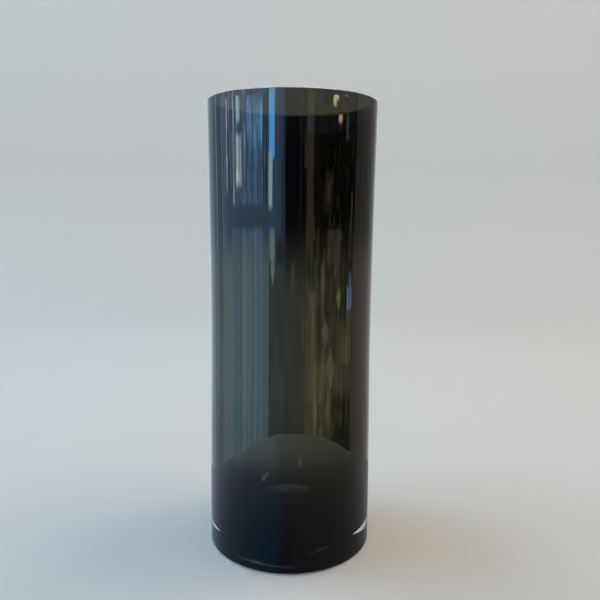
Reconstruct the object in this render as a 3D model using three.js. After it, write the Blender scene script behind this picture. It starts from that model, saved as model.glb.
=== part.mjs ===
// A tall glass cylinder vase, blown in cased glass: a dark smoke-grey cup inside a clear outer layer
// that thickens into a solid clear foot. Millimetres, +Z up, origin at the middle of the underside.
import * as THREE from "three";

// Overall form. The wall is a cylinder with a faint waist, as blown glass has.
const overallHeight = 400;
const footRadius = 75;
const lowerRadius = 74.2;
const middleRadius = 73.2;
const upperRadius = 73.5;
const rimRadius = 74.5;

// Layers of the wall, from the outside in.
const clearWallAtFoot = 4.2;
const clearWallAtRim = 2.8;
const layerGap = 0.3;
const smokeWall = 1.4;

// Foot and floor.
const footEdgeRadius = 1.5;
const hollowRadius = 52;
const hollowDepth = 1.2;
const clearFloorTop = 9.7;
const smokeFloor = 2.0;
const smokeCornerRadius = 30;

// Rim edges, fire-polished.
const rimOuterEdge = 1.0;
const rimInnerEdge = 0.8;

// Fineness of the faceting.
const turnSegments = 64;
const wallSteps = 6;
const edgeSteps = 3;
const cornerSteps = 7;
const hollowSteps = 3;

const wallStations = [footRadius, lowerRadius, middleRadius, upperRadius, rimRadius].map(
  (radius, i, all) => new THREE.Vector2(radius, (overallHeight * i) / (all.length - 1)),
);
const wallCurve = new THREE.SplineCurve(wallStations);

// The outer wall's radius at a height. The stations are evenly spaced in height.
function outerRadius(z) {
  return wallCurve.getPoint(z / overallHeight).x;
}

function clearWall(z) {
  return THREE.MathUtils.lerp(clearWallAtFoot, clearWallAtRim, z / overallHeight);
}

function casingInnerRadius(z) {
  return outerRadius(z) - clearWall(z);
}

function linerOuterRadius(z) {
  return casingInnerRadius(z) - layerGap;
}

function linerInnerRadius(z) {
  return linerOuterRadius(z) - smokeWall;
}

// Points of a round stretch, both ends included, from one angle to another.
function arc(centreX, centreZ, radius, fromDegrees, toDegrees, steps) {
  const points = [];
  for (let i = 0; i <= steps; i += 1) {
    const angle = THREE.MathUtils.degToRad(fromDegrees + ((toDegrees - fromDegrees) * i) / steps);
    points.push(new THREE.Vector2(centreX + radius * Math.cos(angle), centreZ + radius * Math.sin(angle)));
  }
  return points;
}

// Points along a wall whose radius is a function of height, both ends included.
function wall(radiusAt, fromZ, toZ) {
  const points = [];
  for (let i = 0; i <= wallSteps; i += 1) {
    const z = fromZ + ((toZ - fromZ) * i) / wallSteps;
    points.push(new THREE.Vector2(radiusAt(z), z));
  }
  return points;
}

// The shallow hollow under the foot, from the axis out to the ring that the vase stands on.
function footHollow() {
  const points = [];
  for (let i = 0; i <= hollowSteps; i += 1) {
    const r = (hollowRadius * i) / hollowSteps;
    points.push(new THREE.Vector2(r, hollowDepth * (1 - (r / hollowRadius) ** 2)));
  }
  return points;
}

// Turns a half section about the vase's axis and stands it up along +Z.
function turned(profile) {
  const geometry = new THREE.LatheGeometry(profile, turnSegments);
  geometry.rotateX(Math.PI / 2);
  return geometry;
}

// The outer layer: clear wall, rounded rim edge, and a solid foot whose cavity has a round corner.
function clearGlassCasing() {
  const edgeTop = footEdgeRadius;
  const edgeCentre = outerRadius(edgeTop) - footEdgeRadius;
  const rimEdgeStart = overallHeight - rimOuterEdge;
  const rimEdgeCentre = outerRadius(rimEdgeStart) - rimOuterEdge;
  const cornerRadius = smokeCornerRadius + layerGap;
  const cornerTop = clearFloorTop + cornerRadius;
  const cornerCentre = casingInnerRadius(cornerTop) - cornerRadius;
  const profile = [
    ...footHollow(),
    ...arc(edgeCentre, edgeTop, footEdgeRadius, -90, 0, edgeSteps),
    ...wall(outerRadius, edgeTop, rimEdgeStart).slice(1),
    ...arc(rimEdgeCentre, rimEdgeStart, rimOuterEdge, 0, 90, edgeSteps).slice(1),
    ...wall(casingInnerRadius, overallHeight, cornerTop),
    ...arc(cornerCentre, cornerTop, cornerRadius, 0, -90, cornerSteps).slice(1),
    new THREE.Vector2(0, clearFloorTop),
  ];
  return turned(profile);
}

// The inner layer: a thin dark cup that follows the casing's cavity and comes up level with its rim.
function smokeGlassLiner() {
  const floorBottom = clearFloorTop + layerGap;
  const floorTop = floorBottom + smokeFloor;
  const outerCornerTop = floorBottom + smokeCornerRadius;
  const outerCornerCentre = linerOuterRadius(outerCornerTop) - smokeCornerRadius;
  const innerCornerRadius = smokeCornerRadius - smokeWall;
  const innerCornerTop = floorTop + innerCornerRadius;
  const innerCornerCentre = linerInnerRadius(innerCornerTop) - innerCornerRadius;
  const rimEdgeStart = overallHeight - rimInnerEdge;
  const rimEdgeCentre = linerInnerRadius(rimEdgeStart) + rimInnerEdge;
  const profile = [
    new THREE.Vector2(0, floorBottom),
    ...arc(outerCornerCentre, outerCornerTop, smokeCornerRadius, -90, 0, cornerSteps),
    ...wall(linerOuterRadius, outerCornerTop, overallHeight).slice(1),
    ...arc(rimEdgeCentre, rimEdgeStart, rimInnerEdge, 90, 180, edgeSteps),
    ...wall(linerInnerRadius, rimEdgeStart, innerCornerTop).slice(1),
    ...arc(innerCornerCentre, innerCornerTop, innerCornerRadius, 0, -90, cornerSteps).slice(1),
    new THREE.Vector2(0, floorTop),
  ];
  return turned(profile);
}

function layer(name, geometry, color, opacity) {
  const material = new THREE.MeshStandardMaterial({
    color,
    roughness: 0.05,
    metalness: 0,
    transparent: true,
    opacity,
  });
  const mesh = new THREE.Mesh(geometry, material);
  mesh.name = name;
  return mesh;
}

const vase = new THREE.Group();
vase.name = "glass_cylinder_vase";
vase.add(layer("clear_glass_casing", clearGlassCasing(), 0xdfe8e6, 0.3));
vase.add(layer("smoke_glass_liner", smokeGlassLiner(), 0x1c211f, 0.9));

export default vase;
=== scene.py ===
import math

import bpy
import numpy as np
from mathutils import Matrix, Vector


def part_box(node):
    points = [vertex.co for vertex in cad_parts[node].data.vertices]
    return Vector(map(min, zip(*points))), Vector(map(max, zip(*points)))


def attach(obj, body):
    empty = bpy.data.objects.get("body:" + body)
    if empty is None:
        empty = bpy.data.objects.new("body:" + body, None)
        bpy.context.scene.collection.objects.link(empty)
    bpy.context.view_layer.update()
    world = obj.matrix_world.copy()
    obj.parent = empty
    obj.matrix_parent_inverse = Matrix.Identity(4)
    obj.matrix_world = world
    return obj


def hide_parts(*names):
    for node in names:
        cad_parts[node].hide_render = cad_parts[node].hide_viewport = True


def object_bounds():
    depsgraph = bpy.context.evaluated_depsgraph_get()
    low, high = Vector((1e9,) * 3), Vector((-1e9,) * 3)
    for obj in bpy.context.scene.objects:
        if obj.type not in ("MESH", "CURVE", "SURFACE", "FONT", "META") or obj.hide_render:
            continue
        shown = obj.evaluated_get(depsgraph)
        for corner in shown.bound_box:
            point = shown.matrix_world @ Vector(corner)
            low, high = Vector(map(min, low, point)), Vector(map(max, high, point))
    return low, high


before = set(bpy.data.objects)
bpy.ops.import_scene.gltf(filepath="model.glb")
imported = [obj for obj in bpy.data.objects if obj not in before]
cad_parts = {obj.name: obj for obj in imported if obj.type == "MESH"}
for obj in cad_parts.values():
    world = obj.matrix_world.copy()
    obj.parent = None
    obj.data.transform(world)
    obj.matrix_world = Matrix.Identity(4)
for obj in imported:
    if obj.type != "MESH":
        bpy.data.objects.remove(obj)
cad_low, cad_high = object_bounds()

# A cased-glass cylinder vase: a thick clear body with a thin cup of smoke-grey glass just inside its
# cavity. Metres, +Z up, origin at the middle of the underside.

# The half section, finer than the CAD's. The outer wall is a curve through evenly spaced stations.
OVERALL_HEIGHT = cad_high.z
WALL_STATIONS = (0.0750, 0.0742, 0.0732, 0.0735, 0.0745)
CLEAR_WALL_AT_FOOT = 0.0042
CLEAR_WALL_AT_RIM = 0.0028
LAYER_GAP = 0.0003
SMOKE_WALL = 0.0014
FOOT_EDGE_RADIUS = 0.0015
HOLLOW_RADIUS = 0.052
HOLLOW_DEPTH = 0.0012
SMOKE_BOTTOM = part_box("smoke_glass_liner")[0].z
SMOKE_FLOOR = 0.0020
SMOKE_CORNER_RADIUS = 0.0300
RIM_OUTER_EDGE = 0.0010
RIM_INNER_EDGE = 0.0008
FUSED_DEPTH = 0.00005

# Fineness of the meshes.
TURN_SEGMENTS = 256
WALL_STEPS = 90
EDGE_STEPS = 8
CORNER_STEPS = 28
FLOOR_STEPS = 14

# The cup's bottom sits a little to one side, as it does in handmade glass. The wall above is centred.
CUP_SHIFT = -0.0020
CUP_SHIFT_TOP = 0.070
CUP_REACH = 0.0722

# How much light the smoke stops. The wall lets about a twentieth through, green-grey. Most of that is
# taken where light crosses the outer wall and the rest at the smoke layer's two skins. The bottom of the
# cup, up to where its corner ends, is too thick to see through.
WALL_PASSES = (0.100, 0.102, 0.078)
SMOKE_STOPS = 0.293
SMOKE_COLOUR = (0.0010, 0.0012, 0.0011, 1.0)
CUP_TOP = 0.045

# The foot is clear. The tint comes in between two heights above it, and close to the rim, where the
# glass was drawn thin, more light passes.
TINT_FADE = (0.028, 0.044)
RIM_FADE = (0.375, 0.384)
RIM_PASSES = (0.166, 0.164, 0.120)

# Unevenness: the share of the light that passes where the tint is thickest and thinnest, and the
# roughness of the best and the worst polish.
TINT_SPREAD = (0.97, 1.0)
POLISH = (0.0, 0.03)

# The waves of blown glass: how far the surface moves, how many waves go round the wall, how tall they
# are, and the heights between which they start and end.
WAVE_DEPTH = 0.00003
WAVES_ROUND = 17
WAVE_HEIGHT = 0.085
WAVES_START = (0.030, 0.070)
WAVES_END = (0.385, 0.397)

# The camera.
CAMERA_BACK = 0.5539
CAMERA_HEIGHT = 0.3076
CAMERA_PITCH = 8.410
CAMERA_YAW = -0.833
CAMERA_ROLL = 0.561
CAMERA_LENS = 36.55

# The studio: a floor that curves up into a round wall.
FLOOR_DROP = 0.0003
STUDIO_RADIUS = 1.7
STUDIO_BEND = 0.45
STUDIO_HEIGHT = 2.2
STUDIO_SEGMENTS = 128
STUDIO_COLOUR = (0.78, 0.78, 0.77, 1.0)
AIR_COLOUR = (0.90, 0.94, 1.0, 1.0)
AIR_STRENGTH = 0.12

# Soft lights: name, place, aim, size, power, colour.
SOFT_LIGHTS = (
    ("cool_key", (-0.9, 0.2, 2.0), (-0.3, 0.6, 0.0), 1.1, 17.0, (0.48, 0.75, 1.0)),
    ("warm_fill", (0.9, 0.2, 2.0), (0.3, 0.6, 0.0), 1.1, 13.5, (1.0, 0.77, 0.52)),
    ("top", (0.0, 0.0, 2.0), (0.0, 0.0, 0.0), 1.4, 2.5, (1.0, 0.99, 0.97)),
)


def smooth_step(edge_from, edge_to, value):
    t = np.clip((value - edge_from) / (edge_to - edge_from), 0.0, 1.0)
    return t * t * (3.0 - 2.0 * t)


# ---------------------------------------------------------------- the glass


def outer_radius(z):
    """The outer wall's radius at a height: a Catmull-Rom curve through the stations."""
    place = (len(WALL_STATIONS) - 1) * z / OVERALL_HEIGHT
    i = min(int(place), len(WALL_STATIONS) - 2)
    t = place - i
    p1, p2 = WALL_STATIONS[i], WALL_STATIONS[i + 1]
    p0 = WALL_STATIONS[max(i - 1, 0)]
    p3 = WALL_STATIONS[min(i + 2, len(WALL_STATIONS) - 1)]
    v1, v2 = (p2 - p0) / 2, (p3 - p1) / 2
    cubic = 2 * p1 - 2 * p2 + v1 + v2
    square = -3 * p1 + 3 * p2 - 2 * v1 - v2
    return ((cubic * t + square) * t + v1) * t + p1


def clear_wall(z):
    return CLEAR_WALL_AT_FOOT + (CLEAR_WALL_AT_RIM - CLEAR_WALL_AT_FOOT) * z / OVERALL_HEIGHT


def smoke_outer_radius(z):
    return outer_radius(z) - clear_wall(z) - LAYER_GAP


def cavity_radius(z):
    return smoke_outer_radius(z) - SMOKE_WALL


def arc(centre_r, centre_z, radius, start, end, steps):
    """Points (r, z) of a round stretch from one angle to another, in degrees, both ends included."""
    angles = [math.radians(start + (end - start) * i / steps) for i in range(steps + 1)]
    return [(centre_r + radius * math.cos(a), centre_z + radius * math.sin(a)) for a in angles]


def wall(radius_at, start, end, steps=WALL_STEPS):
    heights = [start + (end - start) * i / steps for i in range(steps + 1)]
    return [(radius_at(z), z) for z in heights]


def across(start_r, end_r, height_at, steps=FLOOR_STEPS):
    radii = [start_r + (end_r - start_r) * i / steps for i in range(steps + 1)]
    return [(r, height_at(r)) for r in radii]


def cavity_section(inset):
    """The cavity's half section from the rim's flat down to the axis, moved into the glass by inset."""
    floor = SMOKE_BOTTOM + SMOKE_FLOOR - inset
    corner = SMOKE_CORNER_RADIUS - SMOKE_WALL + inset
    corner_top = floor + corner
    corner_centre = cavity_radius(corner_top) + inset - corner
    edge_start = OVERALL_HEIGHT - RIM_INNER_EDGE
    edge_centre = cavity_radius(edge_start) + RIM_INNER_EDGE
    edge = RIM_INNER_EDGE - inset
    return (
        arc(edge_centre, edge_start, edge, 90, 180, EDGE_STEPS)
        + wall(lambda z: cavity_radius(z) + inset, edge_start, corner_top)[1:]
        + arc(corner_centre, corner_top, corner, 0, -90, CORNER_STEPS)[1:]
        + across(corner_centre, 0.0, lambda r: floor)[1:]
    )


def body_section():
    """The whole glass body's half section, from the axis under the foot round to the axis in the cavity."""
    foot_centre = outer_radius(FOOT_EDGE_RADIUS) - FOOT_EDGE_RADIUS
    edge_start = OVERALL_HEIGHT - RIM_OUTER_EDGE
    edge_centre = outer_radius(edge_start) - RIM_OUTER_EDGE
    return (
        across(0.0, HOLLOW_RADIUS, lambda r: HOLLOW_DEPTH * (1 - (r / HOLLOW_RADIUS) ** 2))
        + across(HOLLOW_RADIUS, foot_centre, lambda r: 0.0, 4)[1:-1]
        + arc(foot_centre, FOOT_EDGE_RADIUS, FOOT_EDGE_RADIUS, -90, 0, EDGE_STEPS)
        + wall(outer_radius, FOOT_EDGE_RADIUS, edge_start)[1:]
        + arc(edge_centre, edge_start, RIM_OUTER_EDGE, 0, 90, EDGE_STEPS)[1:]
        + cavity_section(0.0)
    )


def smoke_section():
    """The smoke cup's half section: up its outer side, over its top, and back inside the cavity's skin."""
    corner_top = SMOKE_BOTTOM + SMOKE_CORNER_RADIUS
    corner_centre = smoke_outer_radius(corner_top) - SMOKE_CORNER_RADIUS
    top = OVERALL_HEIGHT - FUSED_DEPTH
    return (
        across(0.0, corner_centre, lambda r: SMOKE_BOTTOM)[:-1]
        + arc(corner_centre, corner_top, SMOKE_CORNER_RADIUS, -90, 0, CORNER_STEPS)
        + wall(smoke_outer_radius, corner_top, top)[1:]
        + cavity_section(FUSED_DEPTH)
    )


def turned(name, section):
    """A closed mesh made by turning a half section, which starts and ends on the axis, about Z."""
    rings = section[1:-1]
    vertices = [(0.0, 0.0, section[0][1])]
    for r, z in rings:
        for s in range(TURN_SEGMENTS):
            angle = 2 * math.pi * s / TURN_SEGMENTS
            vertices.append((r * math.cos(angle), r * math.sin(angle), z))
    vertices.append((0.0, 0.0, section[-1][1]))
    last = len(vertices) - 1
    faces = []
    for s in range(TURN_SEGMENTS):
        n = (s + 1) % TURN_SEGMENTS
        faces.append((0, 1 + n, 1 + s))
        for ring in range(len(rings) - 1):
            low = 1 + ring * TURN_SEGMENTS
            high = low + TURN_SEGMENTS
            faces.append((low + s, low + n, high + n, high + s))
        top = 1 + (len(rings) - 1) * TURN_SEGMENTS
        faces.append((top + s, top + n, last))
    mesh = bpy.data.meshes.new(name)
    mesh.from_pydata(vertices, [], faces)
    mesh.update()
    for polygon in mesh.polygons:
        polygon.use_smooth = True
    made = bpy.data.objects.new(name, mesh)
    bpy.context.scene.collection.objects.link(made)
    return made


def wave(angle, z):
    """The waves of the blown wall, from -1 to 1: long up the wall, short round it, and never repeating."""
    up = 2 * math.pi * z / WAVE_HEIGHT
    return (
        0.5 * np.sin(WAVES_ROUND * angle + 0.9 * np.sin(0.37 * up + 1.0) + 2.1)
        + 0.3 * np.sin((WAVES_ROUND + 6) * angle + 1.3 * np.sin(0.53 * up + 0.4) + 0.6)
        + 0.2 * np.sin(up + 3 * angle + 0.7)
    )


def add_waves(piece):
    """Moves the wall's skins in and out by a hair, fading to nothing at the foot and the rim."""
    mesh = piece.data
    points = np.empty(len(mesh.vertices) * 3)
    mesh.vertices.foreach_get("co", points)
    points = points.reshape(-1, 3)
    r = np.hypot(points[:, 0], points[:, 1])
    angle = np.arctan2(points[:, 1], points[:, 0])
    z = points[:, 2]
    on_wall = smooth_step(*WAVES_START, z) * (1 - smooth_step(*WAVES_END, z))
    moved = WAVE_DEPTH * (wave(angle, z) - 1.0) * on_wall
    scale = 1 + moved / np.maximum(r, 1e-6)
    points[:, 0] *= scale
    points[:, 1] *= scale
    cup = (z > SMOKE_BOTTOM - 0.001) & (r < CUP_REACH)
    points[:, 0] += CUP_SHIFT * cup * (1 - smooth_step(SMOKE_BOTTOM, CUP_SHIFT_TOP, z))
    mesh.vertices.foreach_set("co", points.ravel())
    mesh.update()


# ---------------------------------------------------------------- the materials


def new_material(name):
    made = bpy.data.materials.new(name)
    made.use_nodes = True
    tree = made.node_tree
    tree.nodes.clear()
    output = tree.nodes.new("ShaderNodeOutputMaterial")
    return made, tree, output


def drawn_noise(tree, scale, stretch, detail):
    """Noise in the object's own space, drawn out along the axis as the glass was in blowing."""
    place = tree.nodes.new("ShaderNodeTexCoord")
    squeeze = tree.nodes.new("ShaderNodeMapping")
    squeeze.inputs["Scale"].default_value = (1.0, 1.0, 1.0 / stretch)
    noise = tree.nodes.new("ShaderNodeTexNoise")
    noise.inputs["Scale"].default_value = scale
    noise.inputs["Detail"].default_value = detail
    tree.links.new(place.outputs["Object"], squeeze.inputs["Vector"])
    tree.links.new(squeeze.outputs["Vector"], noise.inputs["Vector"])
    return noise.outputs["Fac"]


def mapped(tree, value, start, end, low, high):
    """A value that runs from start to end, run from low to high instead."""
    node = tree.nodes.new("ShaderNodeMapRange")
    node.inputs["From Min"].default_value = start
    node.inputs["From Max"].default_value = end
    node.inputs["To Min"].default_value = low
    node.inputs["To Max"].default_value = high
    tree.links.new(value, node.inputs["Value"])
    return node.outputs["Result"]


def mixed_colour(tree, share, first, second):
    """A mix of two colours, each a plain colour or another node's output."""
    node = tree.nodes.new("ShaderNodeMix")
    node.data_type = "RGBA"
    tree.links.new(share, node.inputs["Factor"])
    for name, colour in (("A", first), ("B", second)):
        if isinstance(colour, tuple):
            node.inputs[name].default_value = colour
        else:
            tree.links.new(colour, node.inputs[name])
    return node.outputs["Result"]


def height_share(tree, start, end):
    """A value that runs from 0 at the height start to 1 at the height end."""
    place = tree.nodes.new("ShaderNodeTexCoord")
    parts = tree.nodes.new("ShaderNodeSeparateXYZ")
    tree.links.new(place.outputs["Object"], parts.inputs["Vector"])
    return mapped(tree, parts.outputs["Z"], start, end, 0.0, 1.0)


def glass(name, passes, on_wall=False):
    """
    Fire-polished glass. The light that crosses its surface is multiplied by passes, more or less. On the
    wall it runs from clear at the foot to as dark as passes, and is lighter again close to the rim.
    """
    made, tree, output = new_material(name)
    surface = tree.nodes.new("ShaderNodeBsdfPrincipled")
    surface.inputs["Transmission Weight"].default_value = 1.0
    surface.inputs["IOR"].default_value = 1.52
    thick, thin = (tuple((part * share) ** 2 for part in passes) + (1.0,) for share in TINT_SPREAD)
    draws = mapped(tree, drawn_noise(tree, 60.0, 8.0, 2.0), 0.3, 0.7, 0.0, 1.0)
    tint = mixed_colour(tree, draws, thick, thin)
    if on_wall:
        tint = mixed_colour(tree, height_share(tree, *TINT_FADE), (1.0, 1.0, 1.0, 1.0), tint)
        rim_tint = tuple(part ** 2 for part in RIM_PASSES) + (1.0,)
        tint = mixed_colour(tree, height_share(tree, *RIM_FADE), tint, rim_tint)
    tree.links.new(tint, surface.inputs["Base Color"])
    smudges = mapped(tree, drawn_noise(tree, 45.0, 2.5, 4.0), 0.3, 0.7, *POLISH)
    tree.links.new(smudges, surface.inputs["Roughness"])
    tree.links.new(surface.outputs["BSDF"], output.inputs["Surface"])
    return made


def smoke(name, stops):
    """The smoke layer inside the glass. Each of its skins stops this much of the light."""
    made, tree, output = new_material(name)
    surface = tree.nodes.new("ShaderNodeBsdfPrincipled")
    surface.inputs["Base Color"].default_value = SMOKE_COLOUR
    surface.inputs["Roughness"].default_value = 1.0
    surface.inputs["Specular IOR Level"].default_value = 0.0
    surface.inputs["IOR"].default_value = 1.0
    surface.inputs["Alpha"].default_value = stops
    tree.links.new(surface.outputs["BSDF"], output.inputs["Surface"])
    return made


def pick_faces(piece, index, chosen):
    """Gives the faces that chosen(r, z) picks by their middles the material at index."""
    polygons = piece.data.polygons
    middles = np.empty(len(polygons) * 3)
    polygons.foreach_get("center", middles)
    middles = middles.reshape(-1, 3)
    picked = chosen(np.hypot(middles[:, 0], middles[:, 1]), middles[:, 2])
    slots = np.empty(len(polygons), dtype=np.int32)
    polygons.foreach_get("material_index", slots)
    slots[picked] = index
    polygons.foreach_set("material_index", slots)


# ---------------------------------------------------------------- the studio


def studio_floor():
    """A pale floor that curves up into a round wall, with no seam behind the vase."""
    floor = -FLOOR_DROP
    bend_start = STUDIO_RADIUS - STUDIO_BEND
    section = (
        across(0.0, bend_start, lambda r: floor, 20)
        + arc(bend_start, floor + STUDIO_BEND, STUDIO_BEND, -90, 0, 24)[1:]
        + wall(lambda z: STUDIO_RADIUS, floor + STUDIO_BEND, STUDIO_HEIGHT, 10)[1:]
    )
    vertices = [(0.0, 0.0, section[0][1])]
    for r, z in section[1:]:
        for s in range(STUDIO_SEGMENTS):
            angle = 2 * math.pi * s / STUDIO_SEGMENTS
            vertices.append((r * math.cos(angle), r * math.sin(angle), z))
    faces = []
    for s in range(STUDIO_SEGMENTS):
        n = (s + 1) % STUDIO_SEGMENTS
        faces.append((0, 1 + s, 1 + n))
        for ring in range(len(section) - 2):
            low = 1 + ring * STUDIO_SEGMENTS
            high = low + STUDIO_SEGMENTS
            faces.append((low + s, high + s, high + n, low + n))
    mesh = bpy.data.meshes.new("studio_floor")
    mesh.from_pydata(vertices, [], faces)
    for polygon in mesh.polygons:
        polygon.use_smooth = True
    made = bpy.data.objects.new("studio_floor", mesh)
    bpy.context.scene.collection.objects.link(made)
    material, tree, output = new_material("pale_studio")
    surface = tree.nodes.new("ShaderNodeBsdfDiffuse")
    surface.inputs["Color"].default_value = STUDIO_COLOUR
    tree.links.new(surface.outputs["BSDF"], output.inputs["Surface"])
    mesh.materials.append(material)
    made.visible_glossy = False


def soft_light(name, place, target, size, power, colour):
    data = bpy.data.lights.new(name, "AREA")
    data.shape = "SQUARE"
    data.size = size
    data.energy = power
    data.color = colour
    made = bpy.data.objects.new(name, data)
    bpy.context.scene.collection.objects.link(made)
    made.location = place
    aim = Vector(target) - Vector(place)
    made.rotation_mode = "QUATERNION"
    made.rotation_quaternion = aim.to_track_quat("-Z", "Y")
    made.visible_glossy = False
    made.visible_camera = False
    made.visible_transmission = False


def studio_world():
    world = bpy.data.worlds.new("studio_air")
    bpy.context.scene.world = world
    world.use_nodes = True
    background = world.node_tree.nodes["Background"]
    background.inputs["Color"].default_value = AIR_COLOUR
    background.inputs["Strength"].default_value = AIR_STRENGTH


# ---------------------------------------------------------------- what the glass reflects

# The room round the vase, which only reflections see: a round card of soft light and the table top.
# Directions are (azimuth, elevation) in degrees. Azimuth 0 is towards -Y and grows towards +X. Elevation
# is taken at ROOM_REACH from the card, at the height ROOM_MIDDLE.
ROOM_RADIUS = 2.0
ROOM_LOW = -2.6
ROOM_HIGH = 2.4
ROOM_MIDDLE = 0.3076
ROOM_REACH = 2.41
ROOM_GRID = (1080, 440)

# Light by azimuth: above eye level, then below it.
ROOM_KEYS = (
    (-180, (0.90, 1.10, 1.30), (0.90, 1.05, 1.15)),
    (-139, (0.45, 0.60, 0.75), (0.60, 0.78, 0.92)),
    (-117, (0.57, 0.74, 0.94), (0.66, 0.84, 0.90)),
    (-102, (0.70, 1.00, 1.50), (1.05, 1.28, 1.42)),
    (-89, (0.70, 1.15, 1.75), (1.50, 2.20, 2.50)),
    (-84, (0.75, 1.20, 1.80), (1.05, 1.50, 1.70)),
    (-73, (0.85, 1.40, 2.10), (1.30, 1.90, 2.20)),
    (-66, (0.75, 1.35, 2.10), (1.40, 2.10, 2.40)),
    (-60, (0.60, 1.20, 2.00), (1.38, 2.08, 2.30)),
    (-54, (0.85, 1.80, 3.00), (1.37, 2.07, 2.20)),
    (-45, (0.65, 1.40, 2.30), (1.30, 1.87, 2.20)),
    (-38, (0.55, 1.00, 1.55), (1.28, 1.86, 2.05)),
    (-30.4, (0.38, 0.58, 1.05), (1.22, 1.78, 1.88)),
    (-29.4, (0.45, 1.00, 1.90), (0.66, 0.80, 0.72)),
    (-20, (0.50, 0.95, 1.70), (0.66, 0.80, 0.70)),
    (-14, (0.42, 0.68, 1.15), (0.66, 0.78, 0.68)),
    (-9.6, (0.20, 0.38, 0.74), (0.66, 0.76, 0.66)),
    (-8.4, (0.02, 0.03, 0.06), (0.58, 0.67, 0.57)),
    (12, (0.02, 0.02, 0.04), (0.58, 0.65, 0.52)),
    (19, (0.05, 0.04, 0.03), (0.72, 0.72, 0.54)),
    (29, (0.05, 0.04, 0.03), (0.92, 0.86, 0.58)),
    (36, (0.02, 0.02, 0.01), (0.76, 0.70, 0.48)),
    (60, (0.01, 0.01, 0.01), (0.66, 0.60, 0.40)),
    (91, (0.02, 0.02, 0.02), (0.54, 0.49, 0.34)),
    (92.5, (0.22, 0.20, 0.18), (0.50, 0.46, 0.38)),
    (122, (0.24, 0.21, 0.20), (0.46, 0.41, 0.34)),
    (139, (0.34, 0.34, 0.30), (0.50, 0.46, 0.40)),
    (180, (0.90, 1.10, 1.30), (0.90, 1.05, 1.15)),
)

# By azimuth: the elevation where the light below has wholly taken over, and the light left in the shade
# just below eye level.
ROOM_DUSK = ((-30, -6.5), (-24, -7.0), (-12, -9.5), (42, -9.5), (56, -6.5))
ROOM_SHADES = (
    (19, 1.0),
    (27, 0.75),
    (36, 0.95),
    (44, 0.75),
    (52, 0.60),
    (63, 0.85),
    (70, 0.60),
    (78, 0.40),
    (90, 0.40),
    (91, 1.0),
)

# Patches of light with straight sides, behind the window's twigs and then in front of them: azimuths,
# elevations, softness of the edges, colour.
WINDOW_PATCHES = (
    ((-29.4, -22.3), (3.6, 16.0), (0.8, 0.8), (1.30, 5.60, 11.60)),
    ((-30.0, -25.0), (-0.6, 4.2), (0.8, 0.8), (3.90, 5.90, 6.60)),
    ((-97, -94), (1.0, 9.6), (0.8, 1.2), (3.10, 4.30, 5.20)),
    ((-91, -89.5), (4.0, 16.0), (0.8, 2.0), (2.00, 2.80, 3.40)),
    ((-84, -82), (-0.2, 16.0), (0.8, 1.0), (1.90, 2.70, 3.30)),
    ((-78.5, -69), (1.4, 6.0), (1.4, 0.8), (4.60, 5.90, 6.50)),
    ((-77, -71), (7.2, 9.9), (2.4, 0.9), (3.90, 5.70, 6.50)),
    ((-64, -62.5), (2.0, 7.0), (0.8, 1.0), (1.60, 2.30, 3.00)),
    ((-61, -50), (6.0, 9.4), (1.5, 1.6), (1.10, 2.40, 4.20)),
    ((-48, -39), (5.0, 9.2), (1.5, 1.6), (1.00, 2.40, 4.20)),
    ((-62, -38), (9.4, 16.0), (1.5, 1.6), (0.40, 0.90, 1.70)),
)
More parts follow.
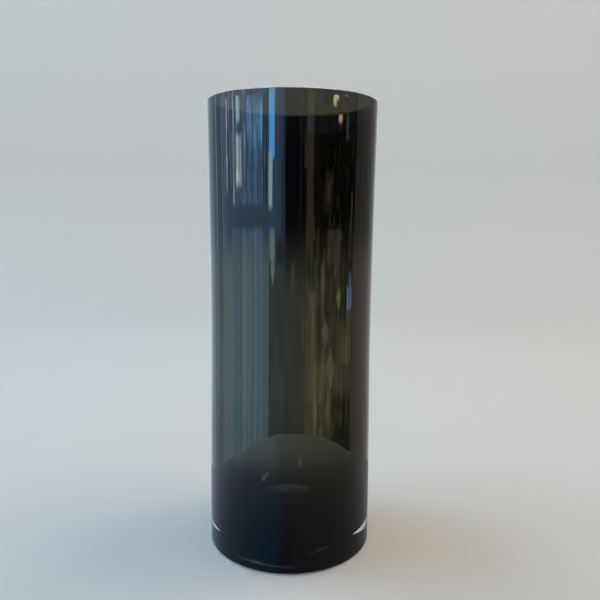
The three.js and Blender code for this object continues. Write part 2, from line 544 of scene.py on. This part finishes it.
ROOM_PATCHES = (
    ((-105, -31), (-2.2, -0.3), (3.0, 0.3), (0.54, 0.94, 1.42)),
    ((-28.5, -22.0), (-5.2, -2.4), (2.0, 0.8), (2.10, 2.90, 3.00)),
    ((-13.0, -11.8), (-2.6, 3.4), (0.6, 0.4), (0.14, 0.22, 0.36)),
    ((-20.0, -10.0), (-5.6, -3.2), (3.0, 1.4), (0.30, 0.37, 0.35)),
    ((19.0, 28.0), (-4.8, 16.0), (1.2, 0.6), (0.43, 0.34, 0.22)),
    ((10.0, 12.0), (-3.0, 16.0), (1.0, 1.0), (0.14, 0.12, 0.14)),
    ((15.5, 19.5), (2.8, 5.6), (1.0, 0.4), (0.45, 0.27, 0.14)),
    ((54.0, 60.5), (9.4, 10.7), (2.4, 0.6), (11.0, 8.4, 4.4)),
    ((52.5, 57.0), (8.7, 9.8), (2.4, 0.6), (9.0, 6.6, 3.0)),
    ((61.3, 66.7), (7.2, 7.8), (2.2, 0.4), (8.4, 6.1, 3.1)),
    ((70.0, 74.0), (10.5, 11.2), (1.0, 0.3), (7.0, 5.4, 2.8)),
    ((74.0, 76.5), (5.6, 8.2), (1.0, 0.6), (0.50, 0.62, 0.56)),
    ((43, 54), (-1.0, 2.6), (1.5, 0.8), (0.17, 0.13, 0.09)),
    ((46, 50), (0.0, 1.6), (1.5, 0.6), (0.55, 0.42, 0.20)),
    ((84.5, 87), (-5.0, 1.0), (0.8, 0.8), (0.50, 0.43, 0.34)),
    ((89.5, 91.5), (-22.0, -2.5), (0.6, 0.5), (0.22, 0.20, 0.16)),
    ((22, 31), (-13.6, -8.0), (1.6, 0.8), (1.15, 1.05, 0.66)),
    ((40.5, 44.5), (-10.4, -5.5), (1.2, 0.8), (0.86, 0.88, 0.72)),
    ((48, 68), (-5.6, -2.4), (1.5, 0.6), (0.56, 0.47, 0.28)),
    ((71, 90), (-14.0, -11.7), (1.2, 0.4), (0.90, 0.81, 0.42)),
    ((80, 90), (-11.7, -9.4), (1.2, 0.4), (0.78, 0.60, 0.34)),
    ((20, 54), (-23.0, -13.8), (2.0, 1.2), (1.12, 1.01, 0.56)),
    ((60, 90), (-23.0, -16.4), (4.0, 1.6), (0.30, 0.27, 0.14)),
    ((81, 90), (-9.4, -7.4), (1.0, 0.4), (1.16, 1.70, 2.70)),
    ((84, 88.5), (-7.6, -6.2), (1.6, 0.8), (1.10, 1.60, 2.50)),
    ((-7.2, -5.8), (-13.8, -10.2), (0.8, 0.8), (0.92, 1.04, 0.92)),
    ((-1.0, 4.0), (-8.2, -5.4), (2.0, 1.0), (0.74, 0.74, 0.64)),
    ((15.0, 17.0), (-12.6, -10.4), (0.8, 0.8), (0.90, 0.94, 0.78)),
)

# Leaves and panes with four slanting sides: middle azimuth and elevation, half sizes, colour.
LEAVES = (
    (55.5, -14.2, 8.0, 1.9, (1.55, 1.48, 0.84)),
    (47.0, -11.4, 6.0, 1.3, (1.60, 1.48, 1.02)),
    (67.5, -8.4, 4.0, 1.1, (1.65, 1.55, 0.62)),
    (33.0, -17.8, 5.0, 2.2, (1.50, 1.40, 0.86)),
    (72.0, -18.6, 6.0, 1.3, (0.56, 0.52, 0.27)),
    (84.0, -15.2, 4.0, 1.0, (0.50, 0.47, 0.26)),
    (61.0, -19.0, 4.0, 1.4, (0.52, 0.56, 0.26)),
    (-24.5, -6.0, 3.0, 1.6, (1.90, 2.60, 2.70)),
)

# The azimuths of the curtains, the window in them, the dark wall and the plants, and the colours of
# the plants' small gleams.
CURTAINS = (-136, -31)
WINDOW = (-99.0, -31.0)
DARK_WALL = (-29.0, 19)
PLANTS = (19, 90)
GLINT_COLOUR = (1.0, 0.9, 0.55)
FAR_GLINT_COLOUR = (0.6, 0.5, 0.35)

# The table top, painted as a reflection: its rim's circle, light by azimuth at the far rim and close to the
# foot, where it is darker with painted shade, and the far rim's share of the light by distance from the
# axis.
TABLE_CENTRE = (0.0153, -0.1253)
TABLE_RADIUS = 0.3087
TABLE_GRID = (480, 320)
TABLE_KEYS = (
    (-180, (0.60, 0.70, 0.80), (0.20, 0.24, 0.30)),
    (-109, (1.50, 1.90, 2.05), (0.33, 0.40, 0.52)),
    (-65, (1.58, 2.06, 2.16), (0.21, 0.28, 0.40)),
    (-51, (1.26, 1.60, 1.70), (0.18, 0.27, 0.38)),
    (-41, (1.24, 1.56, 1.64), (0.14, 0.25, 0.36)),
    (-23, (1.26, 1.47, 1.50), (0.10, 0.21, 0.34)),
    (-10, (0.96, 1.04, 0.91), (0.08, 0.19, 0.34)),
    (-8.5, (0.96, 1.04, 0.90), (0.12, 0.10, 0.24)),
    (-4.5, (0.95, 1.02, 0.87), (0.12, 0.10, 0.22)),
    (-3, (0.95, 1.01, 0.85), (0.10, 0.11, 0.15)),
    (12, (0.93, 0.98, 0.79), (0.14, 0.14, 0.15)),
    (28, (0.91, 0.91, 0.69), (0.16, 0.16, 0.15)),
    (46, (0.91, 0.91, 0.68), (0.17, 0.17, 0.16)),
    (60, (0.84, 0.84, 0.62), (0.18, 0.18, 0.17)),
    (75, (0.74, 0.74, 0.55), (0.20, 0.20, 0.19)),
    (109, (0.70, 0.62, 0.50), (0.27, 0.26, 0.25)),
    (180, (0.60, 0.70, 0.80), (0.20, 0.24, 0.30)),
)
TABLE_FALL = (
    (0.12, 0.0),
    (0.20, 0.08),
    (0.25, 0.16),
    (0.28, 0.31),
    (0.31, 0.57),
    (0.36, 0.88),
    (0.40, 1.0),
)

# How far the table's rim strays from its circle, by azimuth, as waves in the glass make it seem to.
TABLE_STRAYS = (
    (-35, 0.0),
    (-24, 0.0025),
    (-16, 0.0040),
    (-9, 0.0),
    (-2, -0.0060),
    (15, -0.0065),
    (26, -0.0030),
    (38, 0.0),
    (50, -0.0030),
    (64, 0.0),
    (76, -0.0045),
    (90, 0.0),
)

# Small gleams on the table top: azimuths, distances from the axis, softness of the edges, added light.
TABLE_GLEAMS = (
    ((-40, 2), (0.0855, 0.0885), (14.0, 0.0020), (0.38, 0.40, 0.34)),
    ((-31, -20), (0.0855, 0.0905), (4.0, 0.0020), (0.34, 0.34, 0.24)),
    ((15, 26), (0.1040, 0.1075), (6.0, 0.0030), (0.14, 0.14, 0.11)),
    ((24, 36), (0.1065, 0.1110), (6.0, 0.0030), (0.22, 0.22, 0.17)),
    ((-33.5, -28.5), (0.2580, 0.2740), (3.0, 0.0080), (0.55, 0.60, 0.36)),
    ((-30.0, -25.5), (0.2700, 0.2840), (3.0, 0.0080), (0.55, 0.60, 0.36)),
    ((9.5, 14.5), (0.3060, 0.3340), (2.0, 0.0140), (0.38, 0.36, 0.24)),
)

# The lamp over the mouth.
LAMP_RADIUS = 1.60
LAMP_HEIGHT = 2.3
LAMP_LIGHT = (9.0, 9.6, 9.4)
LAMP_GRID = (64, 6)


def keyed(azimuth, keys, which):
    """A colour for each azimuth, run straight between the keys."""
    places = [key[0] for key in keys]
    parts = [np.interp(azimuth, places, [key[which][i] for key in keys]) for i in range(3)]
    return np.stack(parts, axis=-1)


def keyed_number(place, keys):
    """A number for each place, run straight between the keys."""
    return np.interp(place, [key[0] for key in keys], [key[1] for key in keys])


def soft_band(value, low, high, soft):
    """1 between low and high and 0 outside, with edges this soft."""
    half = soft / 2
    return smooth_step(low - half, low + half, value) * (1 - smooth_step(high - half, high + half, value))


def streaks(azimuth, seed, step, power):
    """Upright lines, from -1 to 1: random heights every step degrees, straight between them."""
    count = round(360 / step) + 1
    heights = np.random.RandomState(seed).uniform(-1, 1, count)
    return np.interp(azimuth, np.linspace(-180, 180, count), heights ** power)


def tinted_streaks(azimuth, seed, step, power):
    """The same for red, green and blue, mostly together."""
    shared = streaks(azimuth, seed, step, power)
    own = [streaks(azimuth, seed + 3 * i, step, power) for i in (1, 2, 3)]
    return np.stack([0.82 * shared + 0.18 * part for part in own], axis=-1)


def blotches(azimuth, elevation, wide, tall, seed):
    """Tall soft-edged blotches, from 0 to 1, on a grid of random heights that is wide by tall degrees."""
    heights = np.random.RandomState(seed).uniform(0, 1, (64, 64))
    along = azimuth / wide
    up = elevation / tall
    i, j = np.floor(along).astype(int), np.floor(up).astype(int)
    u, v = along - i, up - j
    u, v = u * u * (3 - 2 * u), v * v * (3 - 2 * v)
    low = heights[i % 64, j % 64] * (1 - u) + heights[(i + 1) % 64, j % 64] * u
    high = heights[i % 64, (j + 1) % 64] * (1 - u) + heights[(i + 1) % 64, (j + 1) % 64] * u
    return low * (1 - v) + high * v


def blend(light, share, colour):
    """The light with this share of it replaced by the colour."""
    return light + share[..., None] * (np.array(colour) - light)


def scaled(light, factor):
    return light * factor[..., None]


def glow(share, colour):
    return share[..., None] * np.array(colour)


def patched(light, azimuth, elevation, patches):
    for (az_low, az_high), (el_low, el_high), (az_soft, el_soft), colour in patches:
        here = soft_band(azimuth, az_low, az_high, az_soft) * soft_band(elevation, el_low, el_high, el_soft)
        light = blend(light, here, colour)
    return light


def with_leaves(light, azimuth, elevation):
    for middle_az, middle_el, half_az, half_el, colour in LEAVES:
        off = np.abs(azimuth - middle_az) / half_az + np.abs(elevation - middle_el) / half_el
        light = blend(light, 1 - smooth_step(0.80, 1.0, off), colour)
    return light


def room_light(azimuth, elevation):
    above = smooth_step(keyed_number(azimuth, ROOM_DUSK), -1.2, elevation)
    light = blend(keyed(azimuth, ROOM_KEYS, 2), above, keyed(azimuth, ROOM_KEYS, 1))
    light = patched(light, azimuth, elevation, WINDOW_PATCHES)
    shade = (1 - keyed_number(azimuth, ROOM_SHADES)) * soft_band(elevation, -10.5, -2.5, 2.0)
    light = scaled(light, 1 - shade)

    curtain = soft_band(azimuth, *CURTAINS, 3.0)
    folds = 0.45 * tinted_streaks(azimuth, 5, 3.0, 1) + 1.25 * tinted_streaks(azimuth, 8, 1.3, 3)
    depth = 0.05 + (0.36 + 0.44 * above) * curtain
    light = light * np.maximum(1 + depth[..., None] * folds, 0.15)
    window = soft_band(azimuth, *WINDOW, 3.0) * smooth_step(-0.3, 0.6, elevation)
    twigs = smooth_step(0.60, 0.72, blotches(azimuth, elevation, 1.5, 1.9, 21)) - 0.25
    light = scaled(light, 1 + 0.55 * window * twigs)
    light = patched(light, azimuth, elevation, ROOM_PATCHES)
    light = with_leaves(light, azimuth, elevation)

    side = soft_band(azimuth, *PLANTS, 3.0)
    plants = side * soft_band(elevation, -24.0, -1.5, 1.5)
    leaves = smooth_step(0.40, 0.60, blotches(azimuth, elevation, 5.0, 2.6, 3)) - 0.5
    grain = 0.34 * tinted_streaks(azimuth, 23, 1.4, 1)
    light = light * (1 + plants[..., None] * (0.26 * leaves[..., None] + grain))
    glints = smooth_step(0.72, 0.76, blotches(azimuth, elevation, 3.2, 1.5, 9))
    light = light + glow(0.22 * plants * glints, GLINT_COLOUR)
    dark_side = side * soft_band(elevation, -2.0, 7.0, 2.0)
    light = light + glow(dark_side * (0.03 * leaves + 0.015 + 0.14 * glints), FAR_GLINT_COLOUR)

    middle = soft_band(azimuth, *DARK_WALL, 1.0) * soft_band(elevation, -24.0, -3.0, 2.0)
    light = scaled(light, 1 + middle * 0.10 * leaves)
    low_side = smooth_step(34, 60, azimuth) * (1 - smooth_step(91, 93, azimuth))
    return scaled(light, 1 - (0.20 + 0.22 * low_side) * smooth_step(-15.0, -21.5, elevation))


def table_light(azimuth, radius):
    far = keyed(azimuth, TABLE_KEYS, 1)
    near = keyed(azimuth, TABLE_KEYS, 2)
    # The light runs from the far rim's down to the painted shade close to the foot.
    light = blend(near, keyed_number(radius, TABLE_FALL), far)
    for (az_low, az_high), (r_low, r_high), (az_soft, r_soft), colour in TABLE_GLEAMS:
        here = soft_band(azimuth, az_low, az_high, az_soft) * soft_band(radius, r_low, r_high, r_soft)
        light = light + glow(here, colour)
    return light


def grid_faces(columns, rows):
    """Quads of a grid that closes on itself along each row."""
    faces = []
    for row in range(rows - 1):
        low = row * columns
        high = low + columns
        for c in range(columns):
            n = (c + 1) % columns
            faces.append((low + c, low + n, high + n, high + c))
    return faces


def reflected_only(name, points, grid, colours):
    """A glowing card with a colour at each point of its grid, which only reflections see."""
    mesh = bpy.data.meshes.new(name)
    mesh.from_pydata(points.reshape(-1, 3).tolist(), [], grid_faces(*grid))
    layer = mesh.color_attributes.new("light", "FLOAT_COLOR", "POINT")
    colours = colours.reshape(-1, 3)
    full = np.concatenate([colours, np.ones((len(colours), 1))], axis=1)
    layer.data.foreach_set("color", full.ravel())
    made = bpy.data.objects.new(name, mesh)
    bpy.context.scene.collection.objects.link(made)
    material, tree, output = new_material(name)
    colour = tree.nodes.new("ShaderNodeAttribute")
    colour.attribute_name = "light"
    emission = tree.nodes.new("ShaderNodeEmission")
    tree.links.new(colour.outputs["Color"], emission.inputs["Color"])
    tree.links.new(emission.outputs["Emission"], output.inputs["Surface"])
    material.cycles.emission_sampling = "NONE"
    mesh.materials.append(material)
    made.visible_camera = False
    made.visible_diffuse = False
    made.visible_transmission = False
    made.visible_volume_scatter = False
    made.visible_shadow = False


def round_grid(grid, radius):
    """The turn and the reach of each point of a disc's grid."""
    columns, rows = grid
    turns = np.linspace(0, 2 * math.pi, columns, endpoint=False)
    return np.meshgrid(turns, np.linspace(0.0, radius, rows))


def reflected_room():
    columns, rows = ROOM_GRID
    azimuths = np.linspace(-180, 180, columns, endpoint=False)
    azimuth, z = np.meshgrid(azimuths, np.linspace(ROOM_LOW, ROOM_HIGH, rows))
    elevation = np.degrees(np.arctan((z - ROOM_MIDDLE) / ROOM_REACH))
    turn = np.radians(azimuth)
    points = np.stack([ROOM_RADIUS * np.sin(turn), -ROOM_RADIUS * np.cos(turn), z], axis=-1)
    reflected_only("reflected_room", points, ROOM_GRID, room_light(azimuth, elevation))


def reflected_table():
    turn, reach = round_grid(TABLE_GRID, TABLE_RADIUS)
    x = TABLE_CENTRE[0] + reach * np.sin(turn)
    y = TABLE_CENTRE[1] - reach * np.cos(turn)
    azimuth = np.arctan2(x, -y)
    strays = keyed_number(np.degrees(azimuth), TABLE_STRAYS) * reach / TABLE_RADIUS
    x, y = x + strays * np.sin(azimuth), y - strays * np.cos(azimuth)
    colours = table_light(np.degrees(np.arctan2(x, -y)), np.hypot(x, y))
    points = np.stack([x, y, np.full_like(x, -FLOOR_DROP / 2)], axis=-1)
    reflected_only("reflected_table", points, TABLE_GRID, colours)


def reflected_lamp():
    """A round soft lamp over the mouth. Its light runs along the cup's inner corner and the rim."""
    turn, reach = round_grid(LAMP_GRID, LAMP_RADIUS)
    height = np.full_like(turn, LAMP_HEIGHT)
    points = np.stack([reach * np.sin(turn), -reach * np.cos(turn), height], axis=-1)
    colours = np.tile(np.array(LAMP_LIGHT), (turn.size, 1))
    reflected_only("reflected_lamp", points, LAMP_GRID, colours)


# ---------------------------------------------------------------- the camera


def main_camera():
    data = bpy.data.cameras.new("camera")
    data.lens = CAMERA_LENS
    data.sensor_width = 36.0
    made = bpy.data.objects.new("camera", data)
    bpy.context.scene.collection.objects.link(made)
    yaw, pitch, roll = (math.radians(a) for a in (CAMERA_YAW, CAMERA_PITCH, CAMERA_ROLL))
    forward = Vector((-math.sin(yaw) * math.cos(pitch), math.cos(yaw) * math.cos(pitch), -math.sin(pitch)))
    level_right = Vector((math.cos(yaw), math.sin(yaw), 0.0))
    level_up = level_right.cross(forward)
    right = math.cos(roll) * level_right + math.sin(roll) * level_up
    up = -math.sin(roll) * level_right + math.cos(roll) * level_up
    turn = Matrix((right, up, -forward)).transposed().to_4x4()
    made.matrix_world = Matrix.Translation((0.0, -CAMERA_BACK, CAMERA_HEIGHT)) @ turn
    bpy.context.scene.camera = made


# ---------------------------------------------------------------- the build

casing = turned("clear_glass_body", body_section())
add_waves(casing)
casing.data.materials.append(glass("clear_glass", (1.0, 1.0, 1.0)))
casing.data.materials.append(glass("clear_glass_over_smoke", WALL_PASSES, on_wall=True))
casing.data.materials.append(glass("clear_glass_over_floor", WALL_PASSES))
wall_top = OVERALL_HEIGHT - RIM_OUTER_EDGE
pick_faces(casing, 1, lambda r, z: (r > CUP_REACH) & (z > TINT_FADE[0]) & (z < wall_top))
pick_faces(casing, 2, lambda r, z: (r < CUP_REACH) & (z > SMOKE_BOTTOM) & (z < CUP_TOP))
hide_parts("clear_glass_casing")
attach(casing, "root")

liner = turned("smoke_glass_cup", smoke_section())
add_waves(liner)
liner.data.materials.append(smoke("smoke_glass", SMOKE_STOPS))
liner.data.materials.append(smoke("smoke_glass_bottom", 1.0))
pick_faces(liner, 1, lambda r, z: z < CUP_TOP)
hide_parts("smoke_glass_liner")
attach(liner, "root")

main_camera()
studio_floor()
for settings in SOFT_LIGHTS:
    soft_light(*settings)
studio_world()
reflected_room()
reflected_table()
reflected_lamp()
bpy.context.scene.view_settings.view_transform = "Standard"
